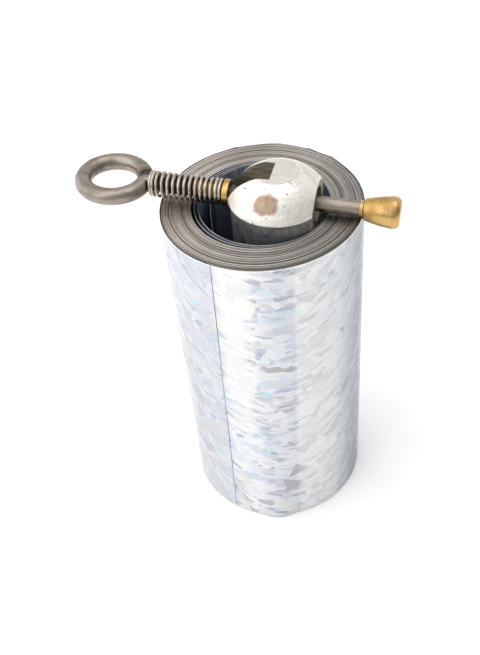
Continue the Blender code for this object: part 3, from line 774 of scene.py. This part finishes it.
def make_ribbon(edge_finish, face_finish):
    """One strip on edge: an Archimedean spiral of packed turns, then loose turns that stand off on the
    side away from the bar, then a tail that crosses to the bar while its top edge slopes down. The top
    edge rises and sinks slowly from turn to turn, so the rim shows rings."""
    loose_end = TAU * (PACKED_TURNS + LOOSE_TURNS)
    end = loose_end + TAIL_SWEEP + TAIL_WRAP
    wound = np.linspace(0, end, int(TURN_STEPS * end / TAU))
    angle = SEAM_ANGLE + wound
    turn = wound / TAU

    outer_start = COIL_RADIUS - FILM_THICKNESS - OUTER_TURN_GAP
    inner_wall = HOLE_RADIUS + INNER_TURN_GAP
    pitch = (outer_start - inner_wall) / PACKED_TURNS
    packed = outer_start - pitch * np.minimum(turn, PACKED_TURNS)
    loose = np.clip(turn - PACKED_TURNS, 0, LOOSE_TURNS)
    away = ((1 + np.cos(angle - LOOSE_TOWARDS)) / 2) ** 1.5
    outer = packed - loose * (RIBBON_THICKNESS + 0.04 + LOOSE_GAP * away * smooth_step(3 * loose))
    share = smooth_step((wound - loose_end) / TAIL_SWEEP)
    on_bar = bar_side_distance(angle) + TAIL_STAND_OFF + TAIL_THICKNESS
    outer = outer + (on_bar - outer) * share
    thickness = RIBBON_THICKNESS + (TAIL_THICKNESS - RIBBON_THICKNESS) * share

    rings = (0.05 * np.sin(TAU * 0.087 * turn + 0.6) + 0.04 * np.sin(TAU * 0.211 * turn + 2.1)
             + 0.025 * np.sin(TAU * 0.43 * turn + 0.4)
             + 0.02 * np.sin(TAU * 0.77 * turn + 3.0 * np.cos(angle)))
    sunk = sum(depth * np.exp(-((turn - middle) / width) ** 2) for middle, width, depth in SUNK_TURNS)
    top = RIM_HEIGHT - RIM_DROP + rings - sunk
    top = top + (BAR_FOOT + TAIL_RISE - top) * share

    crown = 0.25 * thickness
    inner, foot = outer - thickness, np.zeros_like(top)
    corners = ((outer, foot), (outer, top - crown), (outer - crown, top), (inner + crown, top),
               (inner, top - crown), (inner, foot))
    profile = np.stack([np.stack(corner, 1) for corner in corners], 1)
    points = np.empty(profile.shape[:2] + (3,))
    points[..., 0] = COIL_AXIS[0] + profile[..., 0] * np.cos(angle)[:, None]
    points[..., 1] = COIL_AXIS[1] + profile[..., 0] * np.sin(angle)[:, None]
    points[..., 2] = profile[..., 1]
    rows, columns = points.shape[:2]
    faces = grid_faces(rows, columns, True)
    caps = np.array([[0, 1, 4, 5], [1, 2, 3, 4]])
    faces = np.concatenate([faces, caps, (rows - 1) * columns + caps[:, ::-1]])
    made = make_mesh("wound_ribbon", points.reshape(-1, 3), faces, edge_finish, 50.0)
    made.data.materials.append(face_finish)
    upright = np.zeros(len(faces), np.int32)
    side = np.tile(np.arange(columns), rows - 1)
    upright[:len(side)] = (side == 0) | (side == 4)
    made.data.polygons.foreach_set("material_index", upright)
    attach(made, "coil")
    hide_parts("ribbon_coil")


def make_film(finish):
    """A thin open sleeve round the coil, bulging outwards along one stretch of its foot. The
    stand-off is the product of a smooth step round the coil and one down its height. The top edge
    stands up in a few torn scraps, each a squared bell round the coil. The map holds arc length and
    height in metres, so the pattern keeps its size."""
    heights = np.concatenate([np.linspace(FILM_FOOT, LIFT_HEIGHT, 10),
                              np.linspace(LIFT_HEIGHT + 6, RIM_HEIGHT - FILM_TOP_GAP, 14)])
    wound = np.linspace(FILM_SEAM / 2, TAU - FILM_SEAM / 2, 361)
    grid_wound, grid_height = np.meshgrid(wound, heights, indexing="ij")
    lean = SEAM_LEAN * (grid_height / RIM_HEIGHT - 0.5)
    across = smooth_step(1 - np.abs(SEAM_ANGLE + grid_wound + lean - LIFT_ANGLE) / LIFT_REACH)
    down = smooth_step(1 - grid_height / LIFT_HEIGHT)
    ease = 0.05 * np.sin(grid_height * 0.11 + 1.0) * np.exp(-grid_wound / 0.25)
    radius = COIL_RADIUS - FILM_STAND_IN + LIFT_OUT * across * down + ease
    azimuth = np.degrees(SEAM_ANGLE + grid_wound)
    scraps = sum(rise * np.exp(-((azimuth - middle) / width) ** 2) for middle, width, rise in TORN_EDGE)
    scraps *= 0.75 + 0.25 * np.sin(azimuth * 2.3) * np.sin(azimuth * 0.9 + 1.0)
    near_top = (grid_height - RIM_HEIGHT + TORN_DEPTH) / (TORN_DEPTH - FILM_TOP_GAP)
    grid_height = grid_height + scraps * smooth_step(near_top)
    layers = np.concatenate([radius, radius[:, ::-1] - FILM_THICKNESS], 1)
    height = np.concatenate([grid_height, grid_height[:, ::-1]], 1)
    angle = SEAM_ANGLE + np.concatenate([grid_wound + lean, (grid_wound + lean)[:, ::-1]], 1)
    points = np.stack([COIL_AXIS[0] + layers * np.cos(angle), layers * np.sin(angle), height], -1)
    rows, columns = layers.shape
    faces = grid_faces(rows, columns, True)
    half = columns // 2
    k = np.arange(half - 1)
    cap = np.stack([k, k + 1, columns - 2 - k, columns - 1 - k], 1)
    faces = np.concatenate([faces, cap, (rows - 1) * columns + cap[:, ::-1]])
    made = make_mesh("film_sleeve", points.reshape(-1, 3), faces, finish)
    vertex = np.empty(len(made.data.loops), np.int32)
    made.data.loops.foreach_get("vertex_index", vertex)
    arc = np.repeat(wound, columns) * COIL_RADIUS * MM
    flat = np.stack([arc, height.ravel() * MM], 1)[vertex]
    layer = made.data.uv_layers.new(name="film_uv")
    layer.data.foreach_set("uv", flat.ravel())
    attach(made, "coil")
    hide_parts("film_wrap")


# ---------------------------------------------------------------- the lock bar


def shoulder_arc(steps):
    """Heights and radii along the dome's shoulder: one arc from the crease to the edge of the flat."""
    low = np.array([BAR_RADIUS + DOME_OVERHANG, RIM_HEIGHT + CREASE_HEIGHT])
    high = np.array([DOME_FLAT_RADIUS, BAR_TOP])
    chord = high - low
    length = np.linalg.norm(chord)
    out = np.array([chord[1], -chord[0]]) / length
    radius = length ** 2 / (8 * DOME_BULGE) + DOME_BULGE / 2
    centre = (low + high) / 2 + out * (DOME_BULGE - radius)
    first = math.atan2(*(low - centre)[::-1])
    last = math.atan2(*(high - centre)[::-1])
    angle = np.linspace(first, last, steps)
    return np.stack([centre[1] + radius * np.sin(angle), centre[0] + radius * np.cos(angle)], 1)


def box_surface(name, low, high):
    """A closed box between two corners."""
    spans = list(zip(low, high))
    corners = np.array([(x, y, z) for x in spans[0] for y in spans[1] for z in spans[2]])
    faces = [(0, 1, 3, 2), (4, 6, 7, 5), (0, 4, 5, 1), (2, 3, 7, 6), (0, 2, 6, 4), (1, 5, 7, 3)]
    return make_mesh(name, corners, faces, None)


def cut_away(target, cutters):
    """Subtract closed surfaces from a closed surface and keep the result as its mesh."""
    for cutter in cutters:
        step = target.modifiers.new(cutter.name, "BOOLEAN")
        step.operation = "DIFFERENCE"
        step.solver = "EXACT"
        step.object = cutter
    bpy.context.view_layer.update()
    graph = bpy.context.evaluated_depsgraph_get()
    result = bpy.data.meshes.new_from_object(target.evaluated_get(graph))
    target.modifiers.clear()
    target.data = result
    for cutter in cutters:
        bpy.data.objects.remove(cutter, do_unlink=True)


def make_bar(dome, side, wall):
    """The turned bar with its dome, less the slot, the flat on the tip's side, and the stepped bore."""
    upright = (BAR_AXIS, (0, 0, 1), (1, 0, 0), (0, 1, 0))
    shoulder = shoulder_arc(26)
    corner = rounded_profile([(BAR_FOOT, 0.0), (BAR_FOOT, BAR_RADIUS), (BAR_FOOT + 10, BAR_RADIUS)],
                             BAR_CORNER)
    crease_z = RIM_HEIGHT + CREASE_HEIGHT
    levels = np.array([(z, BAR_RADIUS) for z in np.linspace(crease_z - 70, crease_z - LIP_DROP, 8)])
    lip = rounded_profile([(crease_z - LIP_DROP, BAR_RADIUS),
                           (crease_z - LIP_EDGE, BAR_RADIUS + DOME_OVERHANG), shoulder[0], shoulder[1]],
                          0.3, 3)
    profile = np.concatenate([corner[:-1], levels, lip[1:-1], shoulder[1:], [(BAR_TOP, 0.0)]])
    bar = turned_surface("bar_and_dome", profile, 160, upright, dome)
    reach = BAR_RADIUS + CUTTER_MARGIN
    x, y = BAR_AXIS[0], BAR_AXIS[1]
    floor = PIN_POINT[2] - BORE_RADIUS
    slot = box_surface("slot_space", (x - reach, y - SLOT_WIDTH / 2, floor),
                       (x + SLOT_END, y + SLOT_WIDTH / 2, BAR_TOP + 3))
    flat = box_surface("flat_space", (x + SIDE_FLAT, y - reach, RIM_HEIGHT - SIDE_FLAT_DEPTH),
                       (x + reach, y + reach, BAR_TOP + 3))
    step = SIDE_FLAT - MOUTH_DEPTH
    bore_profile = [(SLOT_END - 1, 0), (SLOT_END - 1, BORE_RADIUS), (step, BORE_RADIUS),
                    (step + MOUTH_RADIUS - BORE_RADIUS, MOUTH_RADIUS), (reach, MOUTH_RADIUS), (reach, 0)]
    bore = turned_surface("bore_space", bore_profile, 64, PIN_FRAME, None)
    cut_away(bar, [slot, flat, bore])
    mesh = bar.data
    mesh.materials.clear()
    for finish in (dome, side, wall):
        mesh.materials.append(finish)
    count = len(mesh.polygons)
    centre, normal = np.empty(count * 3), np.empty(count * 3)
    mesh.polygons.foreach_get("center", centre)
    mesh.polygons.foreach_get("normal", normal)
    centre, normal = centre.reshape(-1, 3) / MM, normal.reshape(-1, 3)
    from_axis = np.hypot(centre[:, 0] - x, centre[:, 1] - y)
    on_dome = (centre[:, 2] > crease_z - 0.35) & (from_axis < BAR_RADIUS + DOME_OVERHANG + 0.1)
    squarely = (np.abs(normal[:, 1]) > 0.95) | (np.abs(normal[:, 0]) > 0.95) | (normal[:, 2] > 0.95)
    in_slot = (squarely & (centre[:, 0] < x + SLOT_END + 0.01)
               & (np.abs(centre[:, 1] - y) < SLOT_WIDTH / 2 + 0.01)
               & (centre[:, 2] > floor - 0.01) & (centre[:, 2] < BAR_TOP - 0.05))
    toward_tip = (normal[:, 0] > 0.95) & (centre[:, 0] < x + SIDE_FLAT + 0.05)
    off_pin = centre - PIN_POINT
    off_pin -= np.outer(off_pin @ PIN_AXIS, PIN_AXIS)
    in_bore = ((np.linalg.norm(off_pin, axis=1) < MOUTH_RADIUS + 0.02)
               & (centre[:, 0] > x + SLOT_END) & (centre[:, 0] < x + SIDE_FLAT - 0.01))
    index = np.where(on_dome, 0, 1)
    index[in_slot | in_bore | toward_tip] = 2
    mesh.polygons.foreach_set("material_index", index.astype(np.int32))
    shade(mesh, 20.0)
    bevel = bar.modifiers.new("worn_edges", "BEVEL")
    bevel.width = WORN_EDGE * MM
    bevel.segments = 2
    bevel.limit_method = "ANGLE"
    bevel.angle_limit = math.radians(28.0)
    bevel.harden_normals = False
    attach(bar, "coil")
    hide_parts("lock_bar")


def make_rivet(node, finish):
    """A domed rivet head and its shank: a quarter-ellipse cap over a short cylinder, heading away from
    the bar's axis."""
    low, high = node_span(node)
    centre = (low + high) / 2
    outwards = centre - BAR_AXIS
    outwards[2] = 0.0
    outwards /= np.linalg.norm(outwards)
    along = (node_points(node) - BAR_AXIS) @ outwards
    head_top, inner_end = along.max(), along.min()
    seat = head_top - RIVET_HEAD_HEIGHT
    t = np.linspace(0, math.pi / 2, 10)
    cap = np.stack([seat + RIVET_EDGE + (RIVET_HEAD_HEIGHT - RIVET_EDGE) * np.sin(t),
                    RIVET_HEAD_RADIUS * np.cos(t)], 1)
    shank = [(inner_end, 0.0), (inner_end, RIVET_SHANK_RADIUS), (seat, RIVET_SHANK_RADIUS)]
    profile = np.concatenate([shank, [(seat, RIVET_HEAD_RADIUS - 0.1)], cap])
    profile[-1, 1] = 0.0
    origin = BAR_AXIS + np.array([0, 0, centre[2]])
    side = np.cross((0, 0, 1.0), outwards)
    made = turned_surface(node.replace("tail_", ""), profile, 40, (origin, outwards, side, (0, 0, 1)), finish)
    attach(made, "coil")
    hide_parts(node)


# ---------------------------------------------------------------- the cross pin


def eye_line():
    """The wire's centreline in the pin's plane: the straight rod, a bend of one radius into the neck,
    then round the eye's circle until the cut end butts on the neck. The eye and neck are stretched
    along the pin, so that the bend begins just inside the spring."""
    rod_low, rod_high, _ = pin_span("pin_rod")
    eye = rod_low + EYE_WIRE_RADIUS + EYE_RADIUS
    neck = eye + math.sqrt(EYE_RADIUS ** 2 + 2 * EYE_RADIUS * NECK_RADIUS)
    neck_angle = math.atan2(NECK_RADIUS, neck - eye)
    straight = np.stack([np.linspace(rod_high, neck, 60), np.zeros(60)], 1)
    bend = math.pi / 2 + np.linspace(0, math.pi / 2 - neck_angle, 16)
    bend = np.stack([neck + NECK_RADIUS * np.cos(bend), -NECK_RADIUS + NECK_RADIUS * np.sin(bend)], 1)
    turn = -neck_angle - np.linspace(0, TAU - neck_angle - EYE_END_ANGLE, 120)
    loop = np.stack([eye + EYE_RADIUS * np.cos(turn), EYE_RADIUS * np.sin(turn)], 1)
    line = np.concatenate([straight[:-1], bend[:-1], loop])
    far = eye - EYE_RADIUS
    spring_start = pin_span("pin_spring")[0]
    stretch = (spring_start + EYE_OVERLAP - far) / (neck - far)
    line[:, 0] = np.where(line[:, 0] < neck, far + (line[:, 0] - far) * stretch,
                          spring_start + EYE_OVERLAP + (line[:, 0] - neck)
                          * (rod_high - spring_start - EYE_OVERLAP) / (rod_high - neck))
    return line


def make_pin(finish):
    """The wire: a circle carried along the centreline, a little fuller in the eye than in the rod, and
    drawn in over the last half millimetre at each end."""
    line = eye_line()
    path = pin_place(line[:, 0], line[:, 1])
    step = np.linalg.norm(np.diff(path, axis=0), axis=1)
    run = np.concatenate([[0], np.cumsum(step)])
    left = run[-1] - run
    section = round_section(1.0, 36)
    spring_start = pin_span("pin_spring")[0]
    fullness = smooth_step((spring_start + 2.0 - line[:, 0]) / 4.0)
    radius = WIRE_RADIUS + (EYE_WIRE_RADIUS - WIRE_RADIUS) * fullness
    ends = np.minimum(run, left)
    shrink = np.sqrt(np.clip(1 - (1 - np.clip(ends / WIRE_END_ROUNDING, 0, 1)) ** 2 * 0.35, 0, 1))
    profile = section[None] * (shrink * radius)[:, None, None]
    made = swept_surface("pin_wire", path, profile, np.tile(PIN_UP, (len(path), 1)), finish)
    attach(made, "pin")
    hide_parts("pin_rod")


def make_tip(finish):
    """Turned brass tip: a straight neck, a cone with a soft waist, and a chamfered end; the profile
    folds back inside at the neck to leave the rod's hole."""
    start, end, wide = pin_span("pin_tip")
    length = end - start
    neck, hole_end = start - TIP_NECK_LENGTH, start + length - TIP_CAP
    cone = [(start + share * length, radius) for share, radius in TIP_CONE]
    outer = ([(neck, TIP_HOLE_RADIUS), (neck, TIP_NECK_RADIUS), (start - 0.1, TIP_NECK_RADIUS + 0.02)] + cone
             + [(start + TIP_CONE_SHARE * length, wide), (end - 1.0, wide - 0.12),
                (end, TIP_END_RADIUS), (end, 0.0)])
    outer = rounded_profile(outer, 0.35)
    hole = [(hole_end, 0.0), (hole_end, TIP_HOLE_RADIUS), (neck + 0.2, TIP_HOLE_RADIUS)]
    profile = np.concatenate([hole, outer])
    made = turned_surface("brass_tip", profile, 64, PIN_FRAME, finish)
    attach(made, "pin")
    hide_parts("pin_tip")


def make_sleeve(finish):
    """Flanged brass sleeve: a closed ring profile with softened corners."""
    start, face, _ = pin_span("spring_sleeve")
    bore, shoulder = SLEEVE_BORE_RADIUS, face - FLANGE_THICKNESS
    ring = rounded_profile([(start + 0.5, bore), (start, bore), (start, BARREL_RADIUS),
                            (shoulder, BARREL_RADIUS), (shoulder, SPRING_RADIUS), (face, SPRING_RADIUS),
                            (face, bore), (face - 0.5, bore)], 0.22)
    profile = np.concatenate([ring, ring[:1]])
    made = turned_surface("brass_sleeve", profile, 56, PIN_FRAME, finish)
    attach(made, "spring_seat")
    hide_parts("spring_sleeve")


def make_spring(finish):
    """A helix of round wire: two close turns at the eye, then an even open pitch that tightens again
    in the last turn against the flange."""
    start, end, _ = pin_span("pin_spring")
    start, end = start + SPRING_SHIFT[0], end + SPRING_SHIFT[1]
    first, last = start + SPRING_WIRE, end - SPRING_WIRE
    turn = np.linspace(0, SPRING_TURNS, int(SPRING_TURNS * 44))
    weight = 0.42 + 0.58 * smooth_step((turn - CLOSE_TURNS + 0.6) / 0.9)
    weight *= 1 - 0.12 * smooth_step((turn - 6.0) / 6.0)
    weight *= 1 - 0.35 * smooth_step((turn - SPRING_TURNS + 1.2) / 0.8)
    run = np.concatenate([[0], np.cumsum((weight[1:] + weight[:-1]) / 2)])
    along = first + (last - first) * run / run[-1]
    angle = TAU * turn
    radius = SPRING_RADIUS - SPRING_WIRE
    path = pin_place(along, radius * np.cos(angle), radius * np.sin(angle))
    outwards = np.cos(angle)[:, None] * PIN_SIDE + np.sin(angle)[:, None] * PIN_UP
    made = swept_surface("lock_spring", path, round_section(SPRING_WIRE, 14), outwards, finish)
    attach(made, "spring_seat")
    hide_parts("pin_spring")
    anchor = pin_place(np.array(end), 0.0, 0.0)
    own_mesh(made)


# ---------------------------------------------------------------- camera, floor and light


def make_camera():
    """The camera, given from the middle of the rim, with the roll of a hand-held view."""
    camera = bpy.data.cameras.new("view_camera")
    made = add_object("view_camera", camera)
    rim = COIL_AXIS + np.array([0, 0, RIM_HEIGHT])
    turn = Matrix.Rotation(CAMERA_TURN, 3, "Z")
    place = turn @ Vector(CAMERA_PLACE)
    forward = (turn @ Vector(CAMERA_FORWARD)).normalized()
    right = turn @ Vector(CAMERA_RIGHT)
    right = (right - forward * right.dot(forward)).normalized()
    up = right.cross(forward)
    basis = Matrix((right, up, -forward)).transposed().to_4x4()
    made.matrix_world = Matrix.Translation((Vector(rim) + place) * MM) @ basis
    camera.sensor_fit = "VERTICAL"
    camera.sensor_height = 24.0
    camera.sensor_width = 36.0
    camera.lens = CAMERA_LENS
    camera.clip_start, camera.clip_end = 0.005, 20.0
    bpy.context.scene.camera = made


def make_stage():
    """A pale floor that sweeps up far behind the object."""
    f = Finish("pale_floor", metallic=0.0, roughness=0.7, Emission_Color=(1.0, 1.0, 1.0, 1.0),
               Emission_Strength=0.12)
    clouded = f.noise(Vector=f.place, Scale=40.0, Detail=3.0)
    f.set("Base Color", f.mix(clouded, (0.965, 0.965, 0.965), (0.98, 0.98, 0.98)))
    across = np.linspace(-7.0, 7.0, 9) / MM
    run = np.array([(-2.0, 0.0), (1.2, 0.0), (1.6, 0.05), (1.9, 0.25), (2.1, 0.6), (2.15, 4.5)]) / MM
    x, k = np.meshgrid(across, np.arange(len(run)), indexing="ij")
    points = np.stack([x, run[k, 0], run[k, 1]], -1)
    made = make_mesh("floor", points.reshape(-1, 3), grid_faces(9, len(run)), f.material, 60.0)


def soft_light(name, place, target, size, power, tint=(1.0, 1.0, 1.0)):
    light = bpy.data.lights.new(name, "AREA")
    light.shape = "RECTANGLE"
    light.size, light.size_y = size
    light.energy = power
    light.color = tint
    made = add_object(name, light)
    made.location = place
    heading = Vector(target) - Vector(place)
    made.rotation_euler = heading.to_track_quat("-Z", "Y").to_euler()


def make_lights():
    world = bpy.data.worlds.new("studio")
    bpy.context.scene.world = world
    world.use_nodes = True
    n = Nodes(world.node_tree)
    direction = n.add("ShaderNodeTexCoord").outputs["Generated"]
    split = n.add("ShaderNodeSeparateXYZ", Vector=direction).outputs
    sky = n.ramp(n.remap(split[2], -0.2, 1.0, 0.0, 1.0, "LINEAR"),
                 ((0.0, (0.85, 0.85, 0.85)), (0.35, (0.56, 0.56, 0.57)), (0.75, (0.72, 0.72, 0.71)),
                  (1.0, (0.85, 0.85, 0.85))))
    sideways = n.remap(split[0], -0.9, 0.9, 1.35, 0.62, "LINEAR")
    background = n.add("ShaderNodeBackground", Color=sky, Strength=sideways)
    output = n.add("ShaderNodeOutputWorld")
    n.tree.links.new(background.outputs[0], output.inputs["Surface"])
    middle = (0.0, 0.0, 0.08)
    soft_light("key_light", (-0.55, -0.45, 0.75), middle, (1.1, 1.1), 3.6)
    soft_light("side_light", (-0.85, 0.05, 0.3), middle, (0.7, 0.5), 0.9)
    soft_light("top_light", (0.15, 0.1, 1.5), middle, (1.4, 1.4), 6.0)


# ---------------------------------------------------------------- all together

make_camera()
brass = turned_brass()
make_ribbon(ribbon_steel(), inner_steel())
make_film(holographic_film())
dome_finish = dome_polish()
make_bar(dome_finish, bar_side(), milled_wall())
for rivet_node in ("tail_rivet_lower", "tail_rivet_upper"):
    make_rivet(rivet_node, dome_finish)
sleeve_face = pin_span("spring_sleeve")[1]
make_pin(wire_metal("plated_wire", (0.37, 0.32, 0.275), (0.20, 0.16, 0.13), 0.31,
                    grease_and_shade=(pin_span("pin_spring")[0] + GREASE_AND_SHADE_REACH[0],
                             sleeve_face + GREASE_AND_SHADE_REACH[1])))
make_tip(brass)
make_sleeve(brass)
make_spring(wire_metal("spring_wire", (0.64, 0.565, 0.49), (0.28, 0.23, 0.18), 0.22,
                       painted_shading=(SPRING_RADIUS - 0.7, SPRING_RADIUS - 0.2)))
make_stage()
make_lights()
bpy.context.scene.view_settings.view_transform = "Standard"
